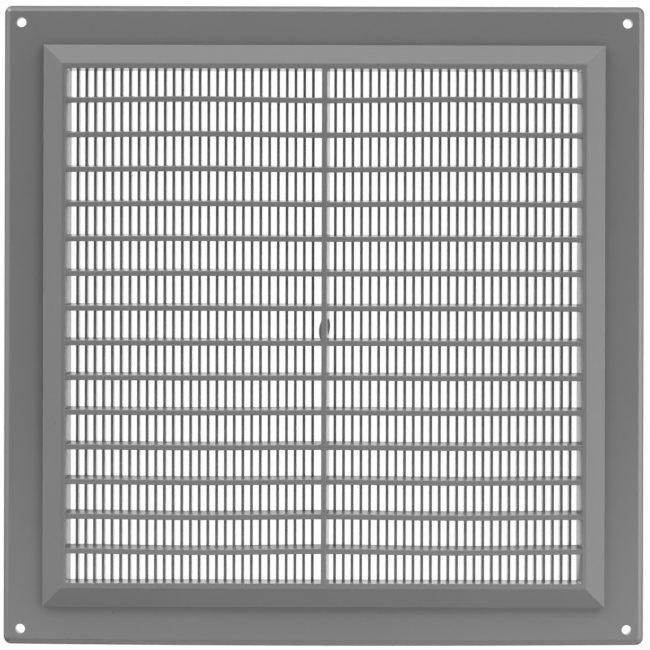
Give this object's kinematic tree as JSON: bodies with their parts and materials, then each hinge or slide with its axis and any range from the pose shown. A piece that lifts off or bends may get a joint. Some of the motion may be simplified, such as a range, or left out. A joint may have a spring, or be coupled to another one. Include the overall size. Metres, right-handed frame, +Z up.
{
  "type": "vent grille",
  "caption": "Square louvred vent grille for a wall or duct opening, moulded in one piece with sloping slats, thin bars behind them against insects and screw holes in the corners.",
  "frame": {"origin": "centre of the grille's back, midway between the four screw holes, in the plane that lies on the wall", "axes": "+Z up, +Y out of the back into the wall, so the front looks along -Y, and +X to the right of someone who looks at the front"},
  "size_m": [0.3, 0.01, 0.3],
  "materials": {
    "grey_plastic": "satin"
  },
  "bodies": {
    "root": {"grille": "grey_plastic"}
  },
  "joints": []
}
